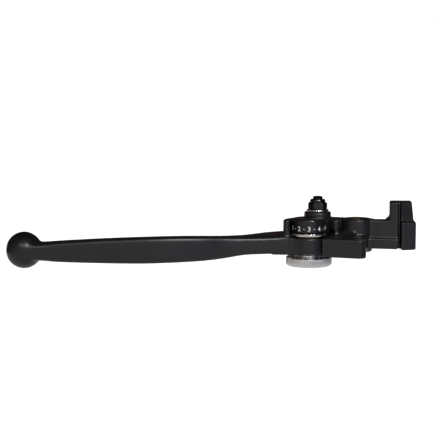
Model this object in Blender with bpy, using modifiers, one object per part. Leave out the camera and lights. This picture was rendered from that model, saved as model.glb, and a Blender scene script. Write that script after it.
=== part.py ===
"""Adjustable clutch lever: a pivoting arm, a finger blade and a dial that sets the blade's reach.

Frame: +X runs along the lever from the ball end to the pusher, -Y is the rider's side, +Z is up.
The origin is on the main pivot's axis, at the lower face of the arm's pivot boss.
Sizes below are millimetres and degrees; MM turns them into Blender's metres.
"""
import math

import bmesh
import bpy
from mathutils import Matrix, Vector

MM = 0.001
GAP = 0.3                      # clearance between pieces that touch
THROUGH = 1.0                  # how far a cutter runs past the face that it opens
OPEN_END = 10.0                # the same below a bore in steps
NAME = "clutch_lever"

# Axes, all parallel to Z
PIVOT = (0.0, 0.0)            # main pivot of the lever on its perch
SPAN = (-18.5, 7.0)           # bolt on which the blade swings on the arm
DIAL = (-23.5, -7.5)          # reach adjuster
REACH_TRAVEL = math.radians(5.0)
DIAL_TRAVEL = math.radians(180.0)
CLICKS = 10                   # notches in a full turn of the dial

# Main pivot
BOSS_RADIUS = 7.4
BOSS_TOP = 15.7
BORE_RADIUS = 5.05
BUSH_OUTER = 4.75
BUSH_INNER = 4.0

# Arm
PLATE_LOW = 10.4
PLATE_TOP = 15.3
EAR_RADIUS = 6.6
LOWER_EAR = (1.2, 3.2)
COLLAR_TOP = 18.4
COLLAR_EDGE = 0.8              # rounding of the collar's rim
BASE = (0.4, 8.3)
WALL_PLAN = [(-10.9, 0.4), (-1.0, 0.4), (-1.0, 6.2), (-10.9, 6.9)]
WALL = (0.6, 14.8)
RIB_PLAN = [(-11.1, -3.6), (-8.9, -3.2), (-8.7, 2.0), (-11.0, 2.0)]
RIB = (1.0, 14.6)
EAR_NECK_PLAN = [(-18.5, 2.6), (-9.0, 2.6), (-9.0, 6.6), (-18.5, 13.4)]
EAR_WALL = (0.5, 2.2)          # inner and outer distance from the blade's pad
STRUT = (-1.25, 7.7)
STRUT_START = 8.1
STRUT_END = 26.4
STRUT_HALF = 3.9
STRUT_BACK = 7.1
NOSE_HALF = 1.1
NOSE = (1.9, 4.7)
WEB_ANGLE = math.radians(-12.0)
WEB_START = 2.0
WEB_LENGTH = 22.8
WEB_HALF = 3.3
SHELF_HALF = 4.5
SHELF = (1.7, 6.8)
WEB_TOP = 15.4
HAMMER_PLAN = [(14.9, -6.6), (19.6, -7.5), (20.7, -7.1), (26.5, -4.9), (27.0, 3.0), (15.8, 3.6)]
HAMMER = (7.4, 24.1)
PUSHER_FACE = 27.6
PUSHER_PLAN = [(20.2, -9.4), (27.0, -7.2), (PUSHER_FACE, -6.6), (PUSHER_FACE, 4.0), (20.2, 4.4)]
PUSHER = (1.3, 14.7)
STOP_GROOVE = (18.9, 20.3, -12.0, -4.9)  # upright groove in the stop's face: both x, then both y
SPRING_LEG_HOLE = 0.8

# Blade
BALL_CENTRE = (-158.6, -10.0, 1.85)
BALL_RADIUS = 8.8
KNUCKLE = (-0.5, 7.8)
HUB_RADIUS = 7.6
TONGUE = (3.5, 9.3)
PAD_RADIUS = 6.5
SHROUD_RADII = (9.1, 12.3)     # wall that stands round the far left of the drum
SHROUD_ANGLES = (104.0, 188.0)
SHROUD_TOP = 15.9
SLEEVE_BORE = 3.9
EAR_POCKET = 7.3               # radius of the room for the arm's lower ear
SPRING_POCKET = (5.7, 7.2)     # radius and ceiling of the pocket for the return spring
CAM_POCKET = (6.5, 5.7)        # radius and ceiling of the pocket for the cam
SEAL_GROOVE = (4.2, 6.7)       # radius and floor of the seat for the spindle's seal
WASHER_SEAT = 7.25
NOSE_WINDOW = (5.0, 9.5, 2.4)  # start, end and half width of the opening for the strut's finger
PLUNGER_HOLE_TOP = 6.3
SPRING_SLOT = (4.0, 6.3, 0.9)  # start, end and half width of the slot for the spring's upper leg

# Span pivot stack
BOLT_RADIUS = 2.5
BOLT_HOLE = 2.8
BOLT_HEAD = (4.4, -0.9, 0.95)  # radius, lower and upper height
BOLT_TIP = 25.7
BOLT_SOCKET = (3.0, 1.4)       # size across flats and depth
NUT_FLATS = 8.0
NUT_CORNER = 4.62              # the nut's corners are turned down to this radius
NUT_COLLAR = 1.7               # height of the round collar on top, which holds the locking ring
NUT = (19.5, 24.2)
LOCKING_RING = (3.2, 2.75, 22.75, 23.5)  # outer and inner radius, lower and upper height
NUT_WASHER = (5.45, BOLT_HOLE, 18.65, 19.25)
SLEEVE = (3.6, 2.78, 3.45, 9.3)
THRUST_WASHER = (5.6, 2.8, 9.55, 10.15)
RETURN_SPRING = (4.75, 0.8, 3.95, 6.4)   # coil radius, wire, lower and upper height
RETURN_TURNS = 2.5
LEG_HEIGHTS = (1.6, 3.4)       # the spring's lower leg, in the arm's ear
HOOK = (4.9, 5.6, 6.5)         # the spring's upper leg: start and end radius, height

# Adjuster
SPINDLE_RADIUS = 2.5
SPINDLE = (-4.0, 14.9)
FLANGE = (8.7, 8.7, 10.0)      # radius, lower and upper height
DRUM = (8.0, 10.3, 16.85)
DRUM_EDGE = 1.1
DRUM_ROOM = (DRUM[0] + 0.35, 8.2, 17.5)
FLANGE_WASHER = (6.9, 3.0, 8.08, 8.43)
SEAL = (3.38, 0.46, 7.25)      # middle radius, half thickness, height
CAM = (1.0, 5.4)
CAM_LOW_RADIUS = 4.2
CAM_DWELL = math.radians(35.0)
CAM_STEPS = 72
PIN = (0.65, 7.6)              # radius and length of the pin that drives the cam
PIN_ROOM = 0.95
WHEEL_RADIUS = 11.0
WHEEL = (-5.8, -1.6)
WHEEL_EDGE = 1.3
SCREW_HEAD = 2.9
SCREW_SHANK = 1.45
SCREW_SEAT = (1.9, 3.3, 1.4)   # bottom and top radius of a countersink, and its depth
DRUM_SCREW_TIP = 11.2
DIAL_SCREW_TIP = -0.3
DETENT_RADIUS = 9.0
DETENT_ANGLE = math.radians(150.0)
NOTCH = (1.5, 0.85)            # radius of the ball that cuts a click notch, and its centre's height
PLUNGER_RADIUS = 1.2
PLUNGER_TOP = 2.9
DETENT_SPRING = (0.8, 0.35, 3.3, 5.9)    # coil radius, wire, lower and upper height

SIDES = 48
SMALL_SIDES = 24


# ---------------------------------------------------------------- helpers

def collection(name):
    made = bpy.data.collections.new(name)
    bpy.context.scene.collection.children.link(made)
    return made


def material(name, colour, roughness, metallic):
    made = bpy.data.materials.new(name)
    made.use_nodes = True
    shader = made.node_tree.nodes["Principled BSDF"]
    shader.inputs["Base Color"].default_value = (*colour, 1.0)
    shader.inputs["Roughness"].default_value = roughness
    shader.inputs["Metallic"].default_value = metallic
    return made


def place(name, mesh, at=(0.0, 0.0, 0.0)):
    """A new object in the cutters' collection; finish() moves the real sub-parts out of it."""
    made = bpy.data.objects.new(name, mesh)
    made.location = Vector(at) * MM
    CUTTERS.objects.link(made)
    made.hide_render = True
    made.display_type = "WIRE"
    return made


def turned(name, axis, profile, sides=SIDES):
    """A solid of revolution about a vertical axis; the profile runs down its outer side."""
    mesh = bpy.data.meshes.new(name)
    points = [(radius * MM, 0.0, height * MM) for radius, height in profile]
    edges = [(i, i + 1) for i in range(len(points) - 1)]
    if profile[0][0] > 0.0:
        edges.append((len(points) - 1, 0))
    mesh.from_pydata(points, edges, [])
    made = place(name, mesh, (*axis, 0.0))
    screw = made.modifiers.new("Turn", "SCREW")
    screw.steps = sides
    screw.render_steps = sides
    screw.use_merge_vertices = True
    screw.merge_threshold = 0.00001
    return made


def rod(name, axis, radius, low, high, sides=SIDES):
    """A plain upright cylinder."""
    mesh = bpy.data.meshes.new(name)
    work = bmesh.new()
    bmesh.ops.create_cone(work, cap_ends=True, segments=sides, radius1=radius * MM, radius2=radius * MM,
                          depth=(high - low) * MM)
    work.to_mesh(mesh)
    work.free()
    return place(name, mesh, (*axis, 0.5 * (low + high)))


def stepped_bore(name, axis, steps, sides=SIDES):
    """A cutter for a bore in steps, each a radius and the height that it reaches, from the bottom up."""
    bottom = steps[0][1] - OPEN_END
    profile = [(0.0, steps[-1][1])]
    for i in range(len(steps) - 1, -1, -1):
        radius, high = steps[i]
        low = steps[i - 1][1] if i else bottom
        profile += [(radius, high), (radius, low)]
    profile.append((0.0, bottom))
    return turned(name, axis, profile, sides)


def ring(name, axis, outer, inner, low, high, sides=SIDES):
    return turned(name, axis, [(outer, high), (outer, low), (inner, low), (inner, high)], sides)


def plate(name, outline, low, high):
    """A flat outline given a thickness, as a closed mesh."""
    curve = bpy.data.curves.new(name, "CURVE")
    curve.dimensions = "2D"
    curve.fill_mode = "BOTH"
    curve.extrude = 0.5 * (high - low) * MM
    spline = curve.splines.new("POLY")
    spline.points.add(len(outline) - 1)
    for point, (x, y) in zip(spline.points, outline):
        point.co = (x * MM, y * MM, 0.0, 1.0)
    spline.use_cyclic_u = True
    flat = place(name + "_outline", curve, (0.0, 0.0, 0.5 * (low + high)))
    return meshed(flat, name)


def meshed(source, name):
    """The closed mesh of a curve object, which is then removed."""
    bpy.context.view_layer.update()
    depsgraph = bpy.context.evaluated_depsgraph_get()
    mesh = bpy.data.meshes.new_from_object(source.evaluated_get(depsgraph))
    work = bmesh.new()
    work.from_mesh(mesh)
    bmesh.ops.remove_doubles(work, verts=work.verts, dist=0.000001)
    bmesh.ops.recalc_face_normals(work, faces=work.faces)
    work.to_mesh(mesh)
    work.free()
    made = place(name, mesh)
    made.matrix_world = source.matrix_world.copy()
    bpy.data.objects.remove(source)
    return made


def arc(centre, radius, start, end, steps):
    """Points on a circle from one angle to another, in degrees."""
    angles = [math.radians(start + (end - start) * i / steps) for i in range(steps + 1)]
    return [(centre[0] + radius * math.cos(a), centre[1] + radius * math.sin(a)) for a in angles]


def along(origin, angle, forward, left):
    """A point given by its distance along a direction and its distance to the left of it."""
    c = math.cos(angle)
    s = math.sin(angle)
    return (origin[0] + c * forward - s * left, origin[1] + s * forward + c * left)


def round_rim(radius, top, edge):
    """Profile points round the upper rim of a turned piece, from its top face to its side."""
    angles = [math.radians(30.0 * i) for i in range(4)]
    return [(radius - edge + edge * math.sin(a), top - edge + edge * math.cos(a)) for a in angles]


def strip(name, origin, angle, start, end, right, left, low, high):
    """A straight bar that runs along a direction, between two offsets from its line."""
    corners = [(start, -right), (end, -right), (end, left), (start, left)]
    return plate(name, [along(origin, angle, f, side) for f, side in corners], low, high)


def combine(target, operation, others):
    for other in others:
        step = target.modifiers.new(operation.title() + " " + other.name, "BOOLEAN")
        step.operation = operation
        step.object = other
        step.solver = "EXACT"
    return target


def unite(target, *others):
    return combine(target, "UNION", others)


def cut(target, *others):
    return combine(target, "DIFFERENCE", others)


def coil(name, axis, radius, wire, low, high, turns, leads=((), ())):
    """A helical spring as a thin round wire, with optional extra points before and after the turns."""
    steps = round(12 * turns)
    points = []
    for i in range(steps + 1):
        angle = 2.0 * math.pi * turns * i / steps
        height = low + (high - low) * i / steps
        points.append((axis[0] + radius * math.cos(angle), axis[1] + radius * math.sin(angle), height))
    points = list(leads[0]) + points + list(leads[1])
    curve = bpy.data.curves.new(name, "CURVE")
    curve.dimensions = "3D"
    curve.bevel_depth = 0.5 * wire * MM
    curve.bevel_resolution = 2
    curve.use_fill_caps = True
    spline = curve.splines.new("POLY")
    spline.points.add(len(points) - 1)
    for point, (x, y, z) in zip(spline.points, points):
        point.co = (x * MM, y * MM, z * MM, 1.0)
    return meshed(place(name + "_path", curve), name)


def finish(made, look, parent):
    """Give a sub-part its material and its place in the model's own collection."""
    made.data.materials.clear()
    made.data.materials.append(look)
    CUTTERS.objects.unlink(made)
    PARTS.objects.link(made)
    made.hide_render = False
    made.display_type = "TEXTURED"
    bpy.context.view_layer.update()
    world = made.matrix_world.copy()
    made.parent = parent
    made.matrix_parent_inverse = parent.matrix_world.inverted()
    made.matrix_world = world
    made.data.shade_smooth()
    made.data.set_sharp_from_angle(angle=math.radians(35.0))
    return made


def axis_empty(name, axis, height=0.0):
    made = bpy.data.objects.new(name, None)
    made.location = Vector((*axis, height)) * MM
    PARTS.objects.link(made)
    bpy.context.view_layer.update()
    return made


# ---------------------------------------------------------------- blade

# Stations along the blade: x, rider's face y, far face y, underside z, top z, squareness towards the rider
# and away from it, and how far back across the blade the ridge lies
STATIONS = [
    (-160.0, -18.0, -5.8, -1.9, 6.45, 2.6, 2.2, 0.45),
    (-150.0, -18.5, -7.2, -2.7, 6.35, 3.2, 2.2, 0.42),
    (-138.0, -19.5, -8.4, -3.2, 7.25, 4.2, 2.2, 0.38),
    (-119.0, -21.7, -9.8, -3.3, 8.5, 5.0, 2.2, 0.35),
    (-101.0, -22.6, -10.0, -3.3, 9.25, 5.5, 2.2, 0.33),
    (-86.0, -21.2, -8.6, -3.0, 9.45, 5.5, 2.2, 0.33),
    (-73.0, -18.2, -6.0, -2.6, 9.1, 5.5, 2.3, 0.33),
    (-64.0, -15.2, -3.2, -1.9, 8.65, 5.5, 2.6, 0.35),
    (-54.0, -13.0, 1.8, -0.6, 8.3, 5.5, 3.6, 0.4),
    (-44.0, -11.9, 8.4, -0.45, 8.55, 5.5, 4.8, 0.45),
    (-34.0, -11.4, 10.8, -0.3, 8.9, 6.0, 5.5, 0.5),
    (-26.0, -11.2, 11.6, -0.3, 8.6, 6.0, 6.0, 0.5),
]
SECTION_POINTS = 24
SECTIONS_PER_SPAN = 3


def smooth_value(before, start, end, after, t):
    """Catmull-Rom interpolation between two stations."""
    slope_a = 0.5 * (end - before)
    slope_b = 0.5 * (after - start)
    cube = 2.0 * start - 2.0 * end + slope_a + slope_b
    square = -3.0 * start + 3.0 * end - 2.0 * slope_a - slope_b
    return ((cube * t + square) * t + slope_a) * t + start


def blade_stations():
    """The stations, filled in smoothly between the given ones."""
    filled = []
    last = len(STATIONS) - 1
    for i in range(last):
        rows = [STATIONS[max(i - 1, 0)], STATIONS[i], STATIONS[i + 1], STATIONS[min(i + 2, last)]]
        for step in range(SECTIONS_PER_SPAN):
            t = step / SECTIONS_PER_SPAN
            filled.append([smooth_value(*values, t) for values in zip(*rows)])
    filled.append(list(STATIONS[last]))
    return filled


def section(x, front, back, low, high, front_squareness, back_squareness, ridge):
    """A rounded cross-section of the blade, made of two half superellipses that meet at its ridge."""
    middle = front + ridge * (back - front)
    points = []
    for i in range(SECTION_POINTS):
        angle = 2.0 * math.pi * i / SECTION_POINTS
        c = math.cos(angle)
        s = math.sin(angle)
        towards_back = c > 0.0
        squareness = back_squareness if towards_back else front_squareness
        reach = back - middle if towards_back else middle - front
        across = math.copysign(abs(c) ** (2.0 / squareness), c)
        up = math.copysign(abs(s) ** (2.0 / squareness), s)
        z = 0.5 * (low + high) + 0.5 * (high - low) * up
        points.append((x * MM, (middle + reach * across) * MM, z * MM))
    return points


def loft(name, loops):
    """A closed body through a row of loops that have the same number of points."""
    work = bmesh.new()
    rows = [[work.verts.new(point) for point in loop] for loop in loops]
    count = len(rows[0])
    for first, second in zip(rows, rows[1:]):
        for i in range(count):
            j = (i + 1) % count
            work.faces.new((first[i], first[j], second[j], second[i]))
    work.faces.new(rows[0])
    work.faces.new(rows[-1])
    bmesh.ops.recalc_face_normals(work, faces=work.faces)
    mesh = bpy.data.meshes.new(name)
    work.to_mesh(mesh)
    work.free()
    return place(name, mesh)


def ball(name, centre, radius, sides):
    mesh = bpy.data.meshes.new(name)
    work = bmesh.new()
    bmesh.ops.create_uvsphere(work, u_segments=sides, v_segments=sides // 2, radius=radius * MM)
    work.to_mesh(mesh)
    work.free()
    return place(name, mesh, centre)


def knuckle_outline():
    """Plan of the blade's thick end: its hub around the dial's axis and its tongue around the bolt."""
    outline = [(-41.0, -11.0), (-34.0, -11.3), (-31.0, -12.0)]
    outline += arc(DIAL, HUB_RADIUS, -128.0, 8.0, 20)
    outline += arc(SPAN, EAR_RADIUS, -24.0, 112.0, 16)
    outline += [(-28.0, 12.3), (-34.0, 10.6), (-41.0, 8.6)]
    return outline


def shroud_outline():
    """Plan of the wall that stands on the blade around the far left of the drum, with a round end."""
    inner, outer = SHROUD_RADII
    start, end = SHROUD_ANGLES
    tip = along(DIAL, math.radians(end), 0.5 * (inner + outer), 0.0)
    outline = arc(DIAL, outer, start, end, 14)
    outline += arc(tip, 0.5 * (outer - inner), end + 12.0, end + 168.0, 8)
    outline += arc(DIAL, inner, end, start, 12)
    return outline


def make_blade():
    blade = loft("lever_blade", [section(*row) for row in blade_stations()])
    knob = ball("ball_end", BALL_CENTRE, BALL_RADIUS, 28)
    knuckle = plate("knuckle", knuckle_outline(), *KNUCKLE)
    pad = rod("tongue_pad", SPAN, PAD_RADIUS, KNUCKLE[1] - 1.0, TONGUE[1])
    shroud = plate("shroud", shroud_outline(), KNUCKLE[1] - 1.5, SHROUD_TOP)
    unite(blade, knob, knuckle, pad, shroud)
    span_bore = [(EAR_POCKET, TONGUE[0]), SPRING_POCKET, (SLEEVE_BORE, TONGUE[1] + THROUGH)]
    dial_bore = [CAM_POCKET, (SPINDLE_RADIUS + GAP, SEAL_GROOVE[1]), (SEAL_GROOVE[0], KNUCKLE[1] + THROUGH)]
    skim = 0.05
    start, end, half = NOSE_WINDOW
    nose_window = strip("nose_window", DIAL, PUSH_ANGLE, start, end, half, half,
                        NOSE[0] - 0.5, NOSE[1] + 0.5)
    start, end, half = SPRING_SLOT
    spring_slot = strip("spring_slot", SPAN, math.pi, start, end, half, half, TONGUE[0] - THROUGH,
                        SPRING_POCKET[1] - 0.2)
    return cut(
        blade,
        stepped_bore("span_bore", SPAN, span_bore),
        stepped_bore("dial_bore", DIAL, dial_bore),
        rod("washer_seat", DIAL, WASHER_SEAT, KNUCKLE[1] - skim, DRUM[1]),
        rod("flange_room", DIAL, SHROUD_RADII[0] + skim, FLANGE[1] - GAP, SHROUD_TOP + skim),
        nose_window,
        rod("detent_hole", DETENT, PLUNGER_RADIUS + GAP, KNUCKLE[0] - THROUGH, PLUNGER_HOLE_TOP,
            SMALL_SIDES),
        spring_slot,
    )


# ---------------------------------------------------------------- arm

def plate_outline():
    """Plan of the arm's upper plate, between the bolt's ear and the pivot's boss."""
    outline = [(-14.0, -1.0), (-11.2, -3.9), (-8.8, -3.4), (-8.5, 0.0), (0.0, 0.0)]
    outline += arc(PIVOT, BOSS_RADIUS - 0.2, 60.0, 95.0, 5)
    outline += arc(SPAN, EAR_RADIUS + 0.2, 55.0, 255.0, 20)
    return outline


def base_outline():
    """Plan of the arm's lower plate, between the strut, the pivot's boss and the bolt."""
    start = along(DIAL, PUSH_ANGLE, STRUT_START + 1.5, 2.0)
    end = along(DIAL, PUSH_ANGLE, STRUT_END - 0.6, 2.0)
    outline = [start, end, (6.4, -1.5)]
    outline += arc(PIVOT, BOSS_RADIUS - 0.2, 20.0, 100.0, 8)
    outline += [(-10.9, 7.0), (-11.0, 3.0), (-13.6, -4.6)]
    return outline


def strut_outline():
    """Plan of the bar that the cam presses on; its free end is bevelled and grows wider at the back."""
    corners = [(STRUT_START - 1.0, -STRUT_HALF), (STRUT_END, -STRUT_HALF), (STRUT_END + 1.8, -1.0),
               (STRUT_END - 0.6, STRUT_BACK), (STRUT_END - 8.0, STRUT_BACK), (STRUT_START + 4.0, STRUT_HALF),
               (STRUT_START - 1.0, STRUT_HALF)]
    return [along(DIAL, PUSH_ANGLE, forward, left) for forward, left in corners]


def ear_wall_outline(start, end):
    """Plan of a wall that closes the arm around the blade's tongue, between two angles."""
    inner, outer = EAR_WALL
    outline = arc(SPAN, PAD_RADIUS + inner, start, end, 12)
    outline += arc(SPAN, PAD_RADIUS + outer, end, start, 12)
    return outline


def make_arm():
    arm = plate("pivot_arm", plate_outline(), PLATE_LOW, PLATE_TOP)
    collar_foot = PLATE_LOW + 0.2
    collar = turned("collar", SPAN, [(0.0, COLLAR_TOP)] + round_rim(EAR_RADIUS, COLLAR_TOP, COLLAR_EDGE)
                    + [(EAR_RADIUS, collar_foot), (0.0, collar_foot)])
    ear_low, ear_high = LOWER_EAR
    castings = [
        collar,
        rod("boss", PIVOT, BOSS_RADIUS, 0.0, BOSS_TOP),
        plate("wall", WALL_PLAN, *WALL),
        plate("rib", RIB_PLAN, *RIB),
        plate("ear_neck", EAR_NECK_PLAN, ear_low, ear_high),
        rod("lower_ear", SPAN, EAR_RADIUS - 0.1, ear_low - 0.1, ear_high + 0.1),
        plate("ear_wall", ear_wall_outline(-60.0, 40.0), KNUCKLE[1] + 0.35, PLATE_LOW + 0.5),
        plate("ear_back", ear_wall_outline(-8.0, 58.0), BASE[0] + 0.15, PLATE_LOW + 0.2),
        plate("base", base_outline(), *BASE),
        make_strut(),
        strip("web", PIVOT, WEB_ANGLE, WEB_START, WEB_LENGTH, WEB_HALF, WEB_HALF, SHELF[1] - 1.5, WEB_TOP),
        strip("shelf", PIVOT, WEB_ANGLE, WEB_START + 0.2, WEB_LENGTH - 0.3, SHELF_HALF, WEB_HALF - 0.2,
              *SHELF),
        plate("hammer", HAMMER_PLAN, *HAMMER),
        plate("pusher", PUSHER_PLAN, *PUSHER),
    ]
    unite(arm, *castings)
    drum_end = along(DIAL, PUSH_ANGLE + math.pi, REACH_SHIFT, 0.0)
    left, right, front, back = STOP_GROOVE
    groove_plan = [(left, front), (right, front), (right, back), (left, back)]
    leg = along(SPAN, 0.0, RETURN_SPRING[0], 0.0)
    return cut(
        arm,
        rod("drum_room", DIAL, *DRUM_ROOM),
        rod("drum_room_far", drum_end, *DRUM_ROOM),
        plate("stop_groove", groove_plan, -THROUGH, HAMMER[1] + THROUGH),
        rod("pivot_bore", PIVOT, BORE_RADIUS, -THROUGH, BOSS_TOP + THROUGH),
        rod("bolt_hole", SPAN, BOLT_HOLE, ear_low - 2.0 * THROUGH, COLLAR_TOP + THROUGH, SMALL_SIDES),
        rod("leg_hole", leg, SPRING_LEG_HOLE, ear_low - THROUGH, ear_high + THROUGH, 16),
    )


def make_strut():
    """The bar from the pivot to the cam, hollowed around the blade's hub and ended in a finger."""
    strut = plate("strut", strut_outline(), *STRUT)
    cut(strut, rod("hub_room", DIAL, HUB_RADIUS + 0.55, STRUT[0] - THROUGH, STRUT[1] + THROUGH))
    return unite(strut, cam_nose())


def cam_nose():
    """The round-ended finger with which the strut bears on the cam."""
    tip = CAM_LOW_RADIUS + GAP + NOSE_HALF
    round_end = arc((0.0, 0.0), NOSE_HALF, 90.0, 270.0, 12)
    outline = [along(DIAL, PUSH_ANGLE, tip + f, side) for f, side in round_end]
    outline += [along(DIAL, PUSH_ANGLE, STRUT_START + 2.0, side) for side in (-NOSE_HALF, NOSE_HALF)]
    return plate("nose", outline, *NOSE)


# ---------------------------------------------------------------- adjuster

def cam_outline():
    """A snail: its radius grows evenly over the dial's travel, then falls back on the unused side."""
    low = CAM_LOW_RADIUS
    high = CAM_LOW_RADIUS + REACH_SHIFT
    fall_start = DIAL_TRAVEL + CAM_DWELL
    fall = 2.0 * math.pi - DIAL_TRAVEL - 2.0 * CAM_DWELL
    outline = []
    for i in range(CAM_STEPS):
        turn = 2.0 * math.pi * i / CAM_STEPS
        if turn <= DIAL_TRAVEL:
            radius = low + (high - low) * turn / DIAL_TRAVEL
        elif turn <= fall_start:
            radius = high
        elif turn <= fall_start + fall:
            radius = high - (high - low) * (turn - fall_start) / fall
        else:
            radius = low
        outline.append(along(DIAL, PUSH_ANGLE - turn, radius, 0.0))
    outline.reverse()
    return outline


def make_cam():
    cam = plate("adjuster_cam", cam_outline(), *CAM)
    return cut(
        cam,
        rod("cam_bore", DIAL, SPINDLE_RADIUS + GAP, CAM[0] - THROUGH, CAM[1] + THROUGH, SMALL_SIDES),
        cross_rod("cam_pin_room", PIN_ROOM, 14.0),
    )


def cross_rod(name, radius, length):
    """A short rod that lies across the spindle, square to the push on the cam."""
    made = rod(name, (0.0, 0.0), radius, -0.5 * length, 0.5 * length, 20)
    lie = Matrix.Rotation(PUSH_ANGLE, 4, "Z") @ Matrix.Rotation(math.radians(90.0), 4, "X")
    made.matrix_world = Matrix.Translation(Vector((*DIAL, 0.5 * (CAM[0] + CAM[1]))) * MM) @ lie
    return made


def make_spindle():
    """A shaft with a flange under the drum and a screw's hole at either end."""
    radius, low, high = FLANGE
    bottom, top = SPINDLE
    tapped = 1.8
    core = 0.5
    body = turned("adjuster_spindle", DIAL, [
        (tapped, top), (SPINDLE_RADIUS, top), (SPINDLE_RADIUS, high), (radius - 0.3, high),
        (radius, high - 0.3), (radius, low + 0.3), (radius - 0.3, low), (SPINDLE_RADIUS, low),
        (SPINDLE_RADIUS, bottom), (tapped, bottom), (tapped, 0.5), (core, 0.6), (core, 10.4),
        (tapped, 10.5)])
    return cut(body, cross_rod("spindle_pin_room", PIN_ROOM, 7.0))


def make_drum():
    radius, low, high = DRUM
    bore = SPINDLE_RADIUS + GAP
    seat = SCREW_SEAT[1]
    profile = [(seat, high)] + round_rim(radius, high, DRUM_EDGE)
    profile += [(radius, low), (bore, low), (bore, high - 1.45)]
    return turned("number_drum", DIAL, profile)


def make_wheel():
    low, high = WHEEL
    lower_rim = [(radius, low + low - height) for radius, height in round_rim(WHEEL_RADIUS, low, WHEEL_EDGE)]
    lower_rim.reverse()
    bore = SPINDLE_RADIUS + GAP
    tip, seat, depth = SCREW_SEAT
    wheel = turned("knurled_dial", DIAL, [
        (bore, high), (WHEEL_RADIUS - 0.4, high), (WHEEL_RADIUS, high - 0.4)] + lower_rim
        + [(seat, low), (tip, low + depth), (bore, low + depth + 0.1)])
    notch, rise = NOTCH
    for i in range(CLICKS):
        angle = DETENT_ANGLE + 2.0 * math.pi * i / CLICKS
        x, y = along(DIAL, angle, DETENT_RADIUS, 0.0)
        cut(wheel, ball("click_%d" % i, (x, y, high + rise), notch, 8))
    return wheel


def countersunk_screw(name, face, tip, down):
    """A small countersunk screw; down tells whether its point is below its head."""
    sign = 1.0 if down else -1.0
    profile = [(0.0, face), (SCREW_HEAD, face), (SCREW_HEAD, face - 0.15 * sign),
               (SCREW_SHANK, face - 1.6 * sign), (SCREW_SHANK, tip), (0.0, tip)]
    if not down:
        profile.reverse()
    return turned(name, DIAL, profile, SMALL_SIDES)


def hexagon_prism(name, axis, flats, low, high):
    return plate(name, arc(axis, flats / math.sqrt(3.0), 0.0, 300.0, 5), low, high)


# ---------------------------------------------------------------- build

SPAN_TO_DIAL = math.atan2(DIAL[1] - SPAN[1], DIAL[0] - SPAN[0])
DIAL_ARM = math.hypot(DIAL[0] - SPAN[0], DIAL[1] - SPAN[1])
PUSH_ANGLE = SPAN_TO_DIAL + math.radians(90.0)
REACH_SHIFT = DIAL_ARM * REACH_TRAVEL
DETENT = along(DIAL, DETENT_ANGLE, DETENT_RADIUS, 0.0)

for leftover in list(bpy.data.objects):
    bpy.data.objects.remove(leftover)
PARTS = collection(NAME)
CUTTERS = collection(NAME + "_cutters")


def span_pivot_pieces():
    """The bolt and everything stacked on it: each piece with the name of its material."""
    radius, head_low, head_high = BOLT_HEAD
    bolt = turned("span_pivot_bolt", SPAN, [
        (0.0, BOLT_TIP), (BOLT_RADIUS - 0.5, BOLT_TIP), (BOLT_RADIUS, BOLT_TIP - 0.5),
        (BOLT_RADIUS, head_high), (radius, head_high), (radius, head_high - 0.5), (radius - 0.9, head_low),
        (0.0, head_low)], SMALL_SIDES)
    flats, depth = BOLT_SOCKET
    cut(bolt, hexagon_prism("bolt_socket", SPAN, flats, head_low - THROUGH, head_low + depth))

    low, high = NUT
    ring_outer, ring_inner, ring_low, ring_high = LOCKING_RING
    seat = ring_outer + 0.25
    shelf = high - NUT_COLLAR
    nut = turned("span_pivot_nut", SPAN, [
        (3.1, high), (3.5, high), (4.05, high - 0.7), (NUT_CORNER, high - 1.5), (NUT_CORNER, low + 0.35),
        (4.2, low), (BOLT_HOLE, low), (BOLT_HOLE, shelf), (seat, shelf), (seat, high - 0.4),
        (3.1, high - 0.3)])
    combine(nut, "INTERSECT", [hexagon_prism("nut_flats", SPAN, NUT_FLATS, low - THROUGH, high + THROUGH)])

    coil_radius, wire, coil_low, coil_high = RETURN_SPRING
    foot = along(SPAN, 0.0, coil_radius, 0.0)
    anchor = [(*foot, height) for height in LEG_HEIGHTS]
    hook_start, hook_end, hook_height = HOOK
    hook = [(*along(SPAN, math.pi, reach, 0.0), hook_height) for reach in (hook_start, hook_end)]
    spring = coil("return_spring", SPAN, coil_radius, wire, coil_low, coil_high, RETURN_TURNS,
                  (anchor, hook))
    return [
        (bolt, "dark_steel"),
        (nut, "dark_steel"),
        (ring("nut_locking_ring", SPAN, ring_outer, ring_inner, ring_low, ring_high, SMALL_SIDES), "nylon"),
        (ring("nut_washer", SPAN, *NUT_WASHER), "bright_steel"),
        (ring("span_pivot_sleeve", SPAN, *SLEEVE), "bright_steel"),
        (ring("thrust_washer", SPAN, *THRUST_WASHER), "bronze"),
        (spring, "bright_steel"),
    ]


def detent_pieces():
    """The click plunger and the spring behind it."""
    tip = WHEEL[1] + 0.1
    plunger = turned("detent_plunger", DETENT, [
        (0.0, PLUNGER_TOP), (PLUNGER_RADIUS, PLUNGER_TOP), (PLUNGER_RADIUS, tip + 1.1), (0.95, tip + 0.45),
        (0.5, tip + 0.1), (0.0, tip)], SMALL_SIDES)
    radius, wire, low, high = DETENT_SPRING
    return [
        (coil("detent_spring", DETENT, radius, wire, low, high, 4), "bright_steel"),
        (plunger, "bright_steel"),
    ]


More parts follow.
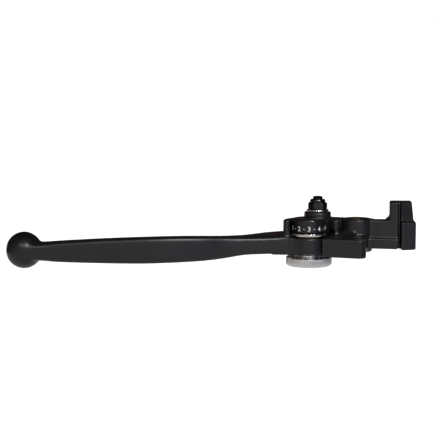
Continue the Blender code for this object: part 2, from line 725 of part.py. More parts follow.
def adjuster_pieces():
    """The spindle and everything that turns with it, with the washer and the seal that it runs on."""
    middle, half, height = SEAL
    round_section = [math.radians(90.0 - 45.0 * i) for i in range(8)]
    seal = turned("spindle_seal", DIAL, [
        (middle + half * math.cos(a), height + half * math.sin(a)) for a in round_section], SMALL_SIDES)
    return [
        (make_spindle(), "bright_steel"),
        (make_drum(), "gloss_black"),
        (countersunk_screw("drum_screw", DRUM[2] - 0.1, DRUM_SCREW_TIP, True), "dark_steel"),
        (ring("flange_washer", DIAL, *FLANGE_WASHER), "bronze"),
        (seal, "rubber"),
        (make_cam(), "bright_steel"),
        (cross_rod("cam_pin", *PIN), "dark_steel"),
        (make_wheel(), "satin_nickel"),
        (countersunk_screw("dial_screw", WHEEL[0] + 0.1, DIAL_SCREW_TIP, False), "dark_steel"),
    ]


# Base colour, roughness and metallic amount of each material
MATERIALS = {
    "cast_black": ((0.022, 0.022, 0.024), 0.42, 0.25),
    "gloss_black": ((0.012, 0.012, 0.013), 0.18, 0.1),
    "satin_nickel": ((0.62, 0.60, 0.58), 0.38, 1.0),
    "bright_steel": ((0.72, 0.71, 0.70), 0.22, 1.0),
    "dark_steel": ((0.16, 0.16, 0.17), 0.33, 1.0),
    "bronze": ((0.50, 0.35, 0.17), 0.40, 1.0),
    "nylon": ((0.80, 0.80, 0.76), 0.50, 0.0),
    "rubber": ((0.015, 0.015, 0.015), 0.70, 0.0),
}


def build():
    looks = {name: material(name, *values) for name, values in MATERIALS.items()}
    main_pivot = [
        (make_arm(), "cast_black"),
        (ring("main_pivot_bush", PIVOT, BUSH_OUTER, BUSH_INNER, 0.1, BOSS_TOP - 0.1), "bronze"),
    ]
    groups = (
        (axis_empty("main_pivot_axis", PIVOT), main_pivot + span_pivot_pieces()),
        (axis_empty("span_pivot_axis", SPAN), [(make_blade(), "cast_black")]),
        (axis_empty("detent_axis", DETENT), detent_pieces()),
        (axis_empty("dial_axis", DIAL), adjuster_pieces()),
    )
    for axis, pieces in groups:
        for piece, look in pieces:
            finish(piece, looks[look], axis)


build()
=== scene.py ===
"""Looks of the clutch lever: cast, turned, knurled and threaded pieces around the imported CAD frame."""
import math

import bmesh
import bpy
import numpy as np
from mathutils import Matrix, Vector


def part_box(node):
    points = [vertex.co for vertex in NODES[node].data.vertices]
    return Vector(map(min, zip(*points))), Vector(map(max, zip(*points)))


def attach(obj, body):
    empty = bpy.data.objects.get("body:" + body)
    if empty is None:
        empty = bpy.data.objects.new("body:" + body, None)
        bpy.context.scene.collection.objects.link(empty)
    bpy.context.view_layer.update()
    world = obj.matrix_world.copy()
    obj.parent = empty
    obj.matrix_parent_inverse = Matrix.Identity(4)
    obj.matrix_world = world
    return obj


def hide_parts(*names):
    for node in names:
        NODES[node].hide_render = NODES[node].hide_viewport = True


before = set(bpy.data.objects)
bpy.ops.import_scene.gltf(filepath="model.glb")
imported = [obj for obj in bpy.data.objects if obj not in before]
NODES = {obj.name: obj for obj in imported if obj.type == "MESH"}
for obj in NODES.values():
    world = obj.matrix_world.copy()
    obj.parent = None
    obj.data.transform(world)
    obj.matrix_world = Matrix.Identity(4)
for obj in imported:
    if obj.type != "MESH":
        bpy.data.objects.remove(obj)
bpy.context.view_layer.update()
MM = 0.001


def axis_of(node):
    low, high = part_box(node)
    return 0.5 * (low.x + high.x), 0.5 * (low.y + high.y)


def radius_of(node):
    low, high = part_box(node)
    return 0.5 * (high.x - low.x)


def heights_of(node):
    low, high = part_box(node)
    return low.z, high.z


PIVOT = axis_of("main_pivot_bush")
SPAN = axis_of("nut_washer")
DIAL = axis_of("number_drum")
DETENT = axis_of("detent_plunger")


# ---------------------------------------------------------------- materials

CAST_RELIEF = 0.02 * MM
METAL_RELIEF = 0.005 * MM
PLASTIC_RELIEF = 0.006 * MM


def new_material(name):
    made = bpy.data.materials.new(name)
    made.use_nodes = True
    tree = made.node_tree
    return made, tree, tree.nodes["Principled BSDF"]


def noise(tree, scale, detail):
    """Noise laid out in the model's own space."""
    coords = tree.nodes.new("ShaderNodeTexCoord")
    made = tree.nodes.new("ShaderNodeTexNoise")
    made.inputs["Scale"].default_value = scale
    made.inputs["Detail"].default_value = detail
    made.inputs["Roughness"].default_value = 0.6
    tree.links.new(coords.outputs["Object"], made.inputs["Vector"])
    return made.outputs["Fac"]


def ramp(tree, value, stops):
    made = tree.nodes.new("ShaderNodeValToRGB")
    tree.links.new(value, made.inputs["Fac"])
    elements = made.color_ramp.elements
    while len(elements) < len(stops):
        elements.new(0.5)
    for element, (place, colour) in zip(elements, stops):
        element.position = place
        if isinstance(colour, float):
            colour = (colour,) * 3
        element.color = (*colour, 1.0)
    return made.outputs["Color"]


def mixed(tree, amount, first, second):
    """first where amount is 0, second where it is 1."""
    made = tree.nodes.new("ShaderNodeMix")
    made.data_type = "RGBA"
    tree.links.new(amount, made.inputs["Factor"])
    for socket, value in ((made.inputs[6], first), (made.inputs[7], second)):
        if isinstance(value, tuple):
            socket.default_value = (*value, 1.0)
        else:
            tree.links.new(value, socket)
    return made.outputs[2]


def bump(tree, shader, height, distance, strength):
    made = tree.nodes.new("ShaderNodeBump")
    made.inputs["Distance"].default_value = distance
    made.inputs["Strength"].default_value = strength
    tree.links.new(height, made.inputs["Height"])
    tree.links.new(made.outputs["Normal"], shader.inputs["Normal"])


def cast_black():
    """Black coating over a fine cast grain, rubbed to bare metal on the sharp edges that a mesh attribute
    marks; on the arm's strut end that bare-metal colour is a painted highlight.
    """
    made, tree, shader = new_material("cast_black")
    coat_dark = (0.0085, 0.0085, 0.0095)
    coat_pale = (0.0125, 0.0125, 0.0135)
    bare_metal_and_glint = (0.22, 0.21, 0.20)
    grain = noise(tree, 1500.0, 3.0)
    cloud = noise(tree, 70.0, 4.0)
    coat = ramp(tree, cloud, [(0.3, coat_dark), (0.7, coat_pale)])
    wear_and_glint_input = tree.nodes.new("ShaderNodeAttribute")
    wear_and_glint_input.attribute_name = "wear_and_glint"
    patchy = noise(tree, 500.0, 4.0)
    product = tree.nodes.new("ShaderNodeMath")
    product.operation = "MULTIPLY"
    tree.links.new(wear_and_glint_input.outputs["Fac"], product.inputs[0])
    tree.links.new(ramp(tree, patchy, [(0.35, 0.15), (0.6, 1.0)]), product.inputs[1])
    # Bare-metal colour where the stored amount is high: real rubbed edges, and a painted highlight on the
    # arm's strut end.
    colour = mixed(tree, product.outputs["Value"], coat, bare_metal_and_glint)
    tree.links.new(colour, shader.inputs["Base Color"])
    tree.links.new(ramp(tree, cloud, [(0.3, 0.29), (0.7, 0.37)]), shader.inputs["Roughness"])
    bump(tree, shader, grain, CAST_RELIEF, 0.45)
    return made


def metal(name, colour, roughness, scale, spread=0.05):
    """Bare or plated metal; scale sets how fine its grain is, spread how far it varies the gloss."""
    made, tree, shader = new_material(name)
    shader.inputs["Metallic"].default_value = 1.0
    grain = noise(tree, scale, 3.0)
    dark = tuple(0.86 * c for c in colour)
    tree.links.new(ramp(tree, grain, [(0.3, dark), (0.7, colour)]), shader.inputs["Base Color"])
    tree.links.new(ramp(tree, grain, [(0.3, roughness - spread), (0.7, roughness + spread)]),
                   shader.inputs["Roughness"])
    bump(tree, shader, grain, METAL_RELIEF, 0.5)
    return made


def polish_upward(material, roughness):
    """Give the faces that look straight up a smoother finish than the rest."""
    tree = material.node_tree
    shader = tree.nodes["Principled BSDF"]
    rest = shader.inputs["Roughness"].links[0].from_socket
    surface = tree.nodes.new("ShaderNodeNewGeometry")
    split = tree.nodes.new("ShaderNodeSeparateXYZ")
    tree.links.new(surface.outputs["Normal"], split.inputs["Vector"])
    facing = ramp(tree, split.outputs["Z"], [(0.90, 0.0), (0.97, 1.0)])
    tree.links.new(mixed(tree, facing, rest, (roughness,) * 3), shader.inputs["Roughness"])


def plastic(name, colour, roughness):
    """Plastic, rubber, lacquer or paint."""
    made, tree, shader = new_material(name)
    grain = noise(tree, 700.0, 3.0)
    dark = tuple(0.8 * c for c in colour)
    tree.links.new(ramp(tree, grain, [(0.3, dark), (0.7, colour)]), shader.inputs["Base Color"])
    gloss = ramp(tree, grain, [(0.3, roughness - 0.03), (0.7, roughness + 0.05)])
    tree.links.new(gloss, shader.inputs["Roughness"])
    bump(tree, shader, grain, PLASTIC_RELIEF, 0.4)
    return made


CAST = cast_black()
NICKEL = metal("satin_nickel", (0.90, 0.88, 0.86), 0.30, 1300.0)
polish_upward(NICKEL, 0.10)
BRIGHT = metal("bright_steel", (0.86, 0.84, 0.82), 0.17, 900.0)
SPRING = metal("spring_steel", (0.55, 0.54, 0.52), 0.25, 1200.0)
DARK = metal("dark_steel", (0.060, 0.060, 0.058), 0.17, 800.0, 0.03)
BRONZE = metal("bronze", (0.24, 0.19, 0.13), 0.38, 900.0)
GLOSS = plastic("gloss_black", (0.012, 0.012, 0.013), 0.13)
NYLON = plastic("nylon", (0.62, 0.60, 0.55), 0.45)
RUBBER = plastic("rubber", (0.015, 0.015, 0.015), 0.62)
PAINT = plastic("dial_paint", (0.80, 0.78, 0.73), 0.40)


# ---------------------------------------------------------------- shapes

def add_piece(name, mesh, body, material, slot, *nodes):
    made = bpy.data.objects.new(name, mesh)
    bpy.context.scene.collection.objects.link(made)
    made.data.materials.clear()
    made.data.materials.append(material)
    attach(made, body)
    if nodes:
        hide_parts(*nodes)


def mesh_of(work, name, crease=32.0):
    bmesh.ops.remove_doubles(work, verts=work.verts, dist=1e-7)
    bmesh.ops.recalc_face_normals(work, faces=work.faces)
    mesh = bpy.data.meshes.new(name)
    work.to_mesh(mesh)
    work.free()
    mesh.shade_smooth()
    mesh.set_sharp_from_angle(angle=math.radians(crease))
    return mesh


def revolved(axis, rows, sides=96, hollow=False, start=0.0, sweep=360.0):
    """A body made of rings about a vertical axis.

    A row is a radius and a height; either can be an array with one value per step round the axis.
    A hollow body joins its last ring to its first. A sweep under 360 degrees gives a capped sector.
    """
    whole = sweep >= 360.0
    count = sides if whole else sides + 1
    angles = np.radians(start + sweep * np.arange(count) / sides)
    work = bmesh.new()
    rings = []
    for radius, height in rows:
        x = axis[0] + radius * np.cos(angles)
        y = axis[1] + radius * np.sin(angles)
        z = np.zeros(count) + height
        rings.append([work.verts.new(point) for point in zip(x, y, z)])
    pairs = list(zip(rings, rings[1:]))
    if hollow:
        pairs.append((rings[-1], rings[0]))
    for first, second in pairs:
        for i in range(count if whole else count - 1):
            j = (i + 1) % count
            work.faces.new((first[i], first[j], second[j], second[i]))
    if not whole:
        work.faces.new([ring[0] for ring in rings])
        work.faces.new([ring[-1] for ring in rings])
    elif not hollow:
        work.faces.new(rings[0])
        work.faces.new(rings[-1])
    bmesh.ops.remove_doubles(work, verts=work.verts, dist=1e-7)
    return work


def rounded(radius, height, edge, steps, lower=False):
    """Ring rows round the upper rim of a turned profile, or round its lower rim."""
    rows = []
    for i in range(steps + 1):
        a = math.radians(90.0 - 90.0 * i / steps)
        c = edge * (1.0 - math.cos(a))
        s = edge * (1.0 - math.sin(a))
        rows.append((radius - c, height - s))
    if lower:
        rows = [(r, 2.0 * height - z) for r, z in reversed(rows)]
    return rows


def hexagon(flats, sides):
    """The radius of a hexagon in each direction; two of its corners lie on the x axis."""
    angles = 360.0 * np.arange(sides) / sides
    return 0.5 * flats / np.cos(np.radians((angles % 60.0) - 30.0))


def prism(outline, low, high):
    """An upright prism over a plan outline, in metres."""
    work = bmesh.new()
    bottom = [work.verts.new((x, y, low)) for x, y in outline]
    top = [work.verts.new((x, y, high)) for x, y in outline]
    work.faces.new(bottom)
    work.faces.new(top)
    for i in range(len(outline)):
        j = (i + 1) % len(outline)
        work.faces.new((bottom[i], bottom[j], top[j], top[i]))
    bmesh.ops.recalc_face_normals(work, faces=work.faces)
    return work


def joined(works):
    """One bmesh out of several."""
    whole = bmesh.new()
    for work in works:
        mesh = bpy.data.meshes.new("part")
        work.to_mesh(mesh)
        work.free()
        whole.from_mesh(mesh)
        bpy.data.meshes.remove(mesh)
    return whole


def cad_work(node):
    """A welded copy of a CAD node's mesh."""
    work = bmesh.new()
    work.from_mesh(NODES[node].data)
    bmesh.ops.remove_doubles(work, verts=work.verts, dist=1e-7)
    return work


# ---------------------------------------------------------------- castings

BALL_RADIUS = 8.8 * MM
BOSS_RADIUS = 7.4 * MM
STOP_LEFT = 21.0 * MM        # where the upright stop begins, and how it leans back over its height
STOP_HEIGHT = 9.2 * MM
STOP_LEAN = 0.8 * MM
SOFT_ROUNDS = 45


def grid_mesh(work, voxel):
    """The skin of overlapping closed bodies as one even mesh."""
    mesh = bpy.data.meshes.new("raw")
    work.to_mesh(mesh)
    work.free()
    holder = bpy.data.objects.new("raw", mesh)
    bpy.context.scene.collection.objects.link(holder)
    remesh = holder.modifiers.new("Grid", "REMESH")
    remesh.mode = "VOXEL"
    remesh.voxel_size = voxel
    bpy.context.view_layer.update()
    depsgraph = bpy.context.evaluated_depsgraph_get()
    even = bpy.data.meshes.new_from_object(holder.evaluated_get(depsgraph))
    bpy.data.objects.remove(holder)
    bpy.data.meshes.remove(mesh)
    return even


def neighbour_mean(points, edges, degree):
    total = np.zeros_like(points)
    for axis in range(3):
        total[:, axis] += np.bincount(edges[:, 0], weights=points[edges[:, 1], axis], minlength=len(points))
        total[:, axis] += np.bincount(edges[:, 1], weights=points[edges[:, 0], axis], minlength=len(points))
    return total / degree[:, None]


def casting(name, node, body, extras, voxel, rounds, wear_and_glint, shape=None, softness=None):
    """A casting: the CAD shape and its fillets, with every edge rounded as a foundry leaves it.

    The wear-and-glint function turns the points and their sharpness into the rubbed amount, which on the
    arm's strut end is a painted highlight. shape moves the points before they are smoothed. softness gives,
    for each point, how much of the extra smoothing it takes.
    """
    solids = [cad_work(node)] + extras
    for solid in solids:
        bmesh.ops.recalc_face_normals(solid, faces=solid.faces)
    mesh = grid_mesh(joined(solids), voxel)
    count = len(mesh.vertices)
    points = np.empty(count * 3)
    mesh.vertices.foreach_get("co", points)
    points = points.reshape(-1, 3)
    if shape:
        points = shape(points)
    edges = np.empty(len(mesh.edges) * 2, dtype=np.int64)
    mesh.edges.foreach_get("vertices", edges)
    edges = edges.reshape(-1, 2)
    degree = np.maximum(np.bincount(edges.ravel(), minlength=count), 1).astype(float)
    for _ in range(rounds):
        points += 0.5 * (neighbour_mean(points, edges, degree) - points)
    if softness:
        weight = softness(points)[:, None]
        for _ in range(SOFT_ROUNDS):
            points += 0.5 * weight * (neighbour_mean(points, edges, degree) - points)
    mesh.vertices.foreach_set("co", points.ravel())
    mesh.update()
    normals = np.empty(count * 3)
    mesh.vertices.foreach_get("normal", normals)
    normals = normals.reshape(-1, 3)
    smooth = points.copy()
    for _ in range(3):
        smooth += 0.6 * (neighbour_mean(smooth, edges, degree) - smooth)
    sharpness = ((points - smooth) * normals).sum(axis=1) / voxel
    # Edge wear amount stored on the mesh; on the arm's strut end it is a painted highlight.
    amount = np.clip(wear_and_glint(points, sharpness), 0.0, 1.0)
    mesh.attributes.new("wear_and_glint", "FLOAT", "POINT").data.foreach_set("value", amount)
    mesh.shade_smooth()
    add_piece(name, mesh, body, CAST, "cast_black", node)


def step_up(value, start, end):
    t = np.clip((value - start) / (end - start), 0.0, 1.0)
    return t * t * (3.0 - 2.0 * t)


def lever_casting():
    """The finger blade with its ball end, hub and the wall round the drum."""
    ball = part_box("lever_blade")[0].x + BALL_RADIUS
    flare = [(9.2 * MM, 7.0 * MM), (16.4 * MM, 7.0 * MM), (16.4 * MM, 8.5 * MM), (14.6 * MM, 8.75 * MM),
             (13.3 * MM, 9.2 * MM), (12.6 * MM, 9.8 * MM), (12.3 * MM, 10.6 * MM), (9.2 * MM, 10.6 * MM)]
    foot = revolved(DIAL, flare, 24, hollow=True, start=104.0, sweep=84.0)

    def softness(points):
        from_neck = np.abs(points[:, 0] - (ball + 8.0 * MM))
        near_ball = 1.0 - step_up(from_neck, 4.0 * MM, 7.0 * MM)
        finger = 1.0 - step_up(points[:, 0], -62.0 * MM, -52.0 * MM)
        return np.maximum(near_ball, 0.35 * finger)

    def wear_and_glint(points, sharpness):
        return 0.25 * step_up(sharpness, 0.25, 0.6)

    casting("blade_casting", "lever_blade", "blade", [foot], 0.36 * MM, 9, wear_and_glint, softness=softness)


def arm_casting():
    """The pivoting arm: plates, strut, web, stop and pusher, with the fillets between them."""
    cove = [(BOSS_RADIUS - 1.0 * MM, 7.0 * MM), (11.4 * MM, 7.0 * MM), (11.0 * MM, 8.25 * MM),
            (9.4 * MM, 8.6 * MM), (8.4 * MM, 9.2 * MM), (7.8 * MM, 10.1 * MM),
            (BOSS_RADIUS - 0.2 * MM, 11.0 * MM), (BOSS_RADIUS - 1.0 * MM, 11.0 * MM)]
    foot = revolved(PIVOT, cove, 18, hollow=True, start=188.0, sweep=72.0)
    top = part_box("pivot_arm")[1].z

    def shape(points):
        stop = step_up(points[:, 2], top - STOP_HEIGHT, top) * (points[:, 0] > STOP_LEFT)
        points[:, 0] -= STOP_LEAN * stop
        return points

    def wear_and_glint(points, sharpness):
        along = points[:, 0]
        # Painted highlight: the strut's end corner gets the full bare-metal colour, standing in for the
        # glint of light on its rounding; the other edges get light real wear.
        strut_end_glint = (points[:, 1] < -12.5 * MM) & (along > -1.0 * MM) & (along < 4.5 * MM)
        return np.where(strut_end_glint, step_up(sharpness, 0.06, 0.2), 0.18 * step_up(sharpness, 0.2, 0.55))

    corner_plan = [(13.6 * MM, -6.1 * MM), (15.6 * MM, -6.5 * MM), (15.6 * MM, 2.8 * MM),
                   (13.6 * MM, 2.4 * MM)]
    corner_end = 15.2 * MM
    web_corner = prism(corner_plan, 13.0 * MM, 16.9 * MM)
    for vert in web_corner.verts:
        if vert.co.z > corner_end and vert.co.x < 14.0 * MM:
            vert.co.z = corner_end
    casting("arm_casting", "pivot_arm", "arm", [foot, web_corner], 0.27 * MM, 20, wear_and_glint, shape)


# ---------------------------------------------------------------- turned pieces

PAINT_DEPTH = 0.03 * MM


def drum():
    low, high = heights_of("number_drum")
    radius = radius_of("number_drum")
    rows = [(3.3 * MM, high - 1.6 * MM), (3.3 * MM, high - 0.15 * MM), (3.5 * MM, high), (6.2 * MM, high)]
    rows += rounded(radius, high, 1.1 * MM, 6)
    rows += [(radius, low + 0.25 * MM), (radius - 0.25 * MM, low), (2.8 * MM, low),
             (2.8 * MM, high - 1.6 * MM)]
    add_piece("drum_body", mesh_of(revolved(DIAL, rows, 128, hollow=True), "drum"), "adjuster", GLOSS,
              "gloss_black", "number_drum")
    digits(radius, low + 1.95 * MM)


def digits(radius, height):
    """Numbers 1 to 6 round the drum, with a small mark between each and the next, in pale paint."""
    works = []
    pointer = math.atan2(-1.0, -0.05)
    step = math.radians(36.0)
    paint = PAINT_DEPTH
    half = 0.22 * MM
    for i in range(6):
        angle = pointer + step * (i - 2)
        curve = bpy.data.curves.new("digit", "FONT")
        curve.body = str(i + 1)
        curve.size = 3.1 * MM
        curve.align_x = "CENTER"
        curve.align_y = "CENTER"
        curve.extrude = paint
        curve.offset = 0.05 * MM
        holder = bpy.data.objects.new("digit", curve)
        bpy.context.scene.collection.objects.link(holder)
        bpy.context.view_layer.update()
        depsgraph = bpy.context.evaluated_depsgraph_get()
        flat = bpy.data.meshes.new_from_object(holder.evaluated_get(depsgraph))
        work = bmesh.new()
        work.from_mesh(flat)
        bmesh.ops.subdivide_edges(work, edges=[e for e in work.edges if e.calc_length() > 0.4 * MM], cuts=2)
        works.append(wrapped(work, angle, radius, height))
        bpy.data.objects.remove(holder)
        mark = prism([(-half, -half), (half, -half), (half, half), (-half, half)], -paint, paint)
        works.append(wrapped(mark, angle + 0.5 * step, radius, height))
    whole = joined(works)
    mesh = bpy.data.meshes.new("drum_numbers")
    whole.to_mesh(mesh)
    whole.free()
    add_piece("drum_numbers", mesh, "adjuster", PAINT, "gloss_black")


def wrapped(work, angle, radius, height):
    """Lay flat work, drawn in its own xy plane, round the drum's side."""
    for vert in work.verts:
        turn = angle + vert.co.x / radius
        out = radius + PAINT_DEPTH + vert.co.z
        up = vert.co.y
        vert.co = (DIAL[0] + out * math.cos(turn), DIAL[1] + out * math.sin(turn), height + up)
    return work


def spindle():
    low, high = heights_of("adjuster_spindle")
    wide = radius_of("adjuster_spindle")
    drum_low = heights_of("number_drum")[0]
    flange_top = drum_low - 0.3 * MM
    flange_low = flange_top - 1.3 * MM
    shaft = 2.5 * MM
    rows = [(1.2 * MM, high), (shaft - 0.2 * MM, high), (shaft, high - 0.2 * MM), (shaft, flange_top)]
    rows += rounded(wide, flange_top, 0.35 * MM, 4)
    rows += rounded(wide, flange_low, 0.35 * MM, 4, lower=True)
    rows += [(shaft, flange_low), (shaft, low + 0.2 * MM), (shaft - 0.2 * MM, low), (1.2 * MM, low)]
    add_piece("spindle_turned", mesh_of(revolved(DIAL, rows, 128), "spindle"), "adjuster", BRIGHT,
              "bright_steel", "adjuster_spindle")


def dial():
    """The knurled wheel: straight fine ribs round its rim, a rounded lower edge and click notches on top."""
    low, high = heights_of("knurled_dial")
    radius = radius_of("knurled_dial")
    ribs = 82
    sides = ribs * 6
    turn = np.arange(sides) * 2.0 * math.pi / sides
    wave = 0.5 - 0.5 * np.cos(turn * ribs)
    rib_depth = 0.21 * MM
    groove = rib_depth * (1.0 - wave) ** 1.5
    lower = 1.3 * MM
    neck = high + 1.9 * MM
    rows = [(2.8 * MM, neck), (4.9 * MM, neck), (5.2 * MM, neck - 0.3 * MM), (5.2 * MM, high + 0.15 * MM),
            (5.35 * MM, high)]
    clicks = 10
    click_track = 9.0 * MM
    click_angles = np.radians(150.0) + 2.0 * math.pi * np.arange(clicks) / clicks
    notch_radius = 1.5 * MM
    notch_rise = 0.85 * MM
    for distance in np.linspace(6.8, 10.3, 9) * MM:
        offset = np.full(sides, 1.0)
        for a in click_angles:
            away = np.hypot(distance * np.cos(turn) - click_track * math.cos(a),
                            distance * np.sin(turn) - click_track * math.sin(a))
            offset = np.minimum(offset, away)
        depth = np.sqrt(np.maximum(notch_radius ** 2 - offset ** 2, 0.0)) - notch_rise
        rows.append((distance, high - np.maximum(depth, 0.0)))
    rows += [(radius - 0.45 * MM, high), (radius - 0.12 * MM, high - 0.18 * MM)]
    rows += [(radius - groove, high - 0.45 * MM), (radius - groove, low + lower)]
    for step in range(1, 6):
        a = math.radians(18.0 * step)
        fade = math.cos(a)
        rows.append((radius - lower + lower * math.cos(a) - groove * fade,
                     low + lower - lower * math.sin(a)))
    rows += [(8.6 * MM, low), (8.3 * MM, low + 0.25 * MM), (5.6 * MM, low + 0.25 * MM), (5.3 * MM, low),
             (3.3 * MM, low), (1.9 * MM, low + 1.4 * MM), (2.8 * MM, low + 1.5 * MM)]
    add_piece("dial_knurled", mesh_of(revolved(DIAL, rows, sides, hollow=True), "dial", 40.0), "adjuster",
              NICKEL, "satin_nickel", "knurled_dial")


def countersunk(name, node, body, down):
    """A countersunk screw with a hexagon socket in its face."""
    low, high = heights_of(node)
    sides = 48
    sign = 1.0 if down else -1.0
    face = high if down else low
    tip = low if down else high
    head = radius_of(node)
    socket = hexagon(2.0 * MM, sides)
    rows = [(0.0, face - 1.3 * sign * MM), (socket, face - 1.15 * sign * MM), (socket, face),
            (head - 0.25 * MM, face), (head, face - 0.12 * sign * MM), (head, face - 0.25 * sign * MM),
            (1.5 * MM, face - 1.6 * sign * MM), (1.4 * MM, tip + 0.2 * sign * MM), (1.1 * MM, tip),
            (0.0, tip)]
    add_piece(name, mesh_of(revolved(DIAL, rows, sides), name), body, DARK, "dark_steel", node)


def nut():
    low, high = heights_of("span_pivot_nut")
    sides = 144
    corner = hexagon(8.0 * MM, sides)

    def ring(limit):
        return np.minimum(corner, limit)

    bore = 2.8 * MM
    collar = high - 1.7 * MM
    tip = 4.62 * MM
    rows = [(bore, low), (ring(4.15 * MM), low), (ring(4.45 * MM), low + 0.2 * MM),
            (ring(tip), low + 0.5 * MM), (ring(tip), collar - 0.55 * MM),
            (ring(4.4 * MM), collar - 0.02 * MM),
            (ring(4.1 * MM), collar + 0.25 * MM), (3.75 * MM, collar + 0.45 * MM),
            (3.7 * MM, high - 0.5 * MM),
            (3.55 * MM, high - 0.15 * MM), (3.3 * MM, high), (3.15 * MM, high - 0.05 * MM),
            (3.15 * MM, high - 0.3 * MM), (3.4 * MM, high - 0.4 * MM), (3.4 * MM, collar), (bore, collar)]
    add_piece("nut_turned", mesh_of(revolved(SPAN, rows, sides, hollow=True), "nut", 28.0), "arm", DARK,
              "dark_steel", "span_pivot_nut")


def bolt():
    """The span pivot bolt: a rolled thread through the nut and a low round head with a hexagon socket."""
    low, high = heights_of("span_pivot_bolt")
    nut_low = heights_of("span_pivot_nut")[0]
    sides = 72
    turn = np.arange(sides) / sides
    radius = 2.5 * MM
    pitch = 0.8 * MM
    depth = 0.32 * MM
    socket = hexagon(3.0 * MM, sides)
    head = radius_of("span_pivot_bolt")
    rows = [(0.0, low + 1.4 * MM), (socket, low + 1.3 * MM), (socket, low + 0.05 * MM),
            (socket + 0.1 * MM, low), (head - 0.9 * MM, low)]
    rows += [(head - 0.55 * MM, low + 0.2 * MM), (head - 0.2 * MM, low + 0.6 * MM), (head, low + 1.1 * MM)]
    rows += [(head, low + 1.7 * MM), (head - 0.15 * MM, low + 1.85 * MM), (radius, low + 1.85 * MM)]
    rows += [(radius, nut_low - 0.6 * MM)]
    start = nut_low - 0.4 * MM
    for height in np.arange(start, high - 0.35 * MM, pitch / 8.0):
        phase = (height / pitch - turn) % 1.0
        tooth = 2.0 * np.abs(phase - 0.5)
        rows.append((radius - depth * tooth, height))
    rows += [(radius - depth - 0.05 * MM, high - 0.2 * MM), (radius - 0.65 * MM, high), (0.0, high)]
    add_piece("bolt_threaded", mesh_of(revolved(SPAN, rows, sides), "bolt", 50.0), "arm", DARK, "dark_steel",
              "span_pivot_bolt")


def plain_ring(name, node, body, axis, inner, material, slot, edge):
    """A ring with its edges eased."""
    low, high = heights_of(node)
    outer = radius_of(node)
    e = edge * MM
    rows = [(inner + e, high), (outer - e, high), (outer - 0.3 * e, high - 0.3 * e), (outer, high - e),
            (outer, low + e), (outer - 0.3 * e, low + 0.3 * e), (outer - e, low), (inner + e, low),
            (inner, low + e), (inner, high - e)]
    add_piece(name, mesh_of(revolved(axis, rows, hollow=True), name), body, material, slot, node)


def plunger():
    low, high = heights_of("detent_plunger")
    radius = radius_of("detent_plunger")
    rows = [(0.0, high), (radius - 0.15 * MM, high), (radius, high - 0.15 * MM), (radius, low + radius)]
    rows += [(radius * math.cos(a), low + radius - radius * math.sin(a))
             for a in np.radians([20, 40, 60, 75])]
    rows += [(0.0, low)]
    add_piece("plunger_turned", mesh_of(revolved(DETENT, rows, 40), "plunger"), "plunger", BRIGHT,
              "bright_steel", "detent_plunger")


def small_spring():
    """The spring behind the click plunger, wound from round wire with its ends closed."""
    low, high = heights_of("detent_spring")
    wire = 0.35 * MM
    radius = radius_of("detent_spring") - 0.5 * wire
    turns = 6.0
    curve = bpy.data.curves.new("detent_coil", "CURVE")
    curve.dimensions = "3D"
    curve.bevel_depth = 0.5 * wire
    curve.bevel_resolution = 3
    curve.use_fill_caps = True
    spline = curve.splines.new("POLY")
    steps = 144
    spline.points.add(steps)
    for i in range(steps + 1):
        t = i / steps
        rise = t - math.sin(2.0 * math.pi * t) / (2.0 * math.pi) * 0.35
        angle = 2.0 * math.pi * turns * t
        spline.points[i].co = (DETENT[0] + radius * math.cos(angle), DETENT[1] + radius * math.sin(angle),
                               low + 0.5 * wire + (high - low - wire) * rise, 1.0)
    holder = bpy.data.objects.new("coil", curve)
    bpy.context.scene.collection.objects.link(holder)
    bpy.context.view_layer.update()
    depsgraph = bpy.context.evaluated_depsgraph_get()
    mesh = bpy.data.meshes.new_from_object(holder.evaluated_get(depsgraph))
    bpy.data.objects.remove(holder)
    mesh.shade_smooth()
    add_piece("detent_coil", mesh, "blade", SPRING, "bright_steel", "detent_spring")


def carried_over():
    """CAD nodes that are shown as they are, with their edges eased."""
    for node, material, width in (
            ("adjuster_cam", BRIGHT, 0.12), ("cam_pin", DARK, 0.1), ("return_spring", SPRING, 0.0),
            ("spindle_seal", RUBBER, 0.0)):
        shown = NODES[node]
        shown.data.materials.clear()
        shown.data.materials.append(material)
        if width:
            ease = shown.modifiers.new("Ease", "BEVEL")
            ease.width = width * MM
            ease.segments = 2
            ease.limit_method = "ANGLE"
            ease.angle_limit = math.radians(35.0)
            ease.harden_normals = True
        else:
            finer = shown.modifiers.new("Finer", "SUBSURF")
            finer.levels = 1
            finer.render_levels = 1


lever_casting()
arm_casting()
drum()
spindle()
dial()
nut()
bolt()
countersunk("drum_screw_socket", "drum_screw", "adjuster", True)
countersunk("dial_screw_socket", "dial_screw", "adjuster", False)
plain_ring("bush_turned", "main_pivot_bush", "pivot_bush", PIVOT, 4.0 * MM, BRONZE, "bronze", 0.35)
plain_ring("washer_pressed", "nut_washer", "arm", SPAN, 2.8 * MM, BRIGHT, "bright_steel", 0.14)
plain_ring("sleeve_turned", "span_pivot_sleeve", "arm", SPAN, 2.78 * MM, BRIGHT, "bright_steel", 0.2)
plain_ring("thrust_ring", "thrust_washer", "arm", SPAN, 2.8 * MM, BRONZE, "bronze", 0.1)
plain_ring("flange_shim", "flange_washer", "blade", DIAL, 3.0 * MM, BRONZE, "bronze", 0.08)
plain_ring("nylon_ring", "nut_locking_ring", "arm", SPAN, 2.75 * MM, NYLON, "nylon", 0.12)
plunger()
small_spring()
carried_over()


# ---------------------------------------------------------------- stage, light and camera

def area_light(name, place, target, size, power, colour=(1.0, 1.0, 1.0)):
    data = bpy.data.lights.new(name, "AREA")
    data.shape = "RECTANGLE"
    data.size, data.size_y = size
    data.energy = power
    data.color = colour
    made = bpy.data.objects.new(name, data)
    bpy.context.scene.collection.objects.link(made)
    made.location = place
    made.rotation_euler = (Vector(target) - Vector(place)).to_track_quat("-Z", "Y").to_euler()
    return made


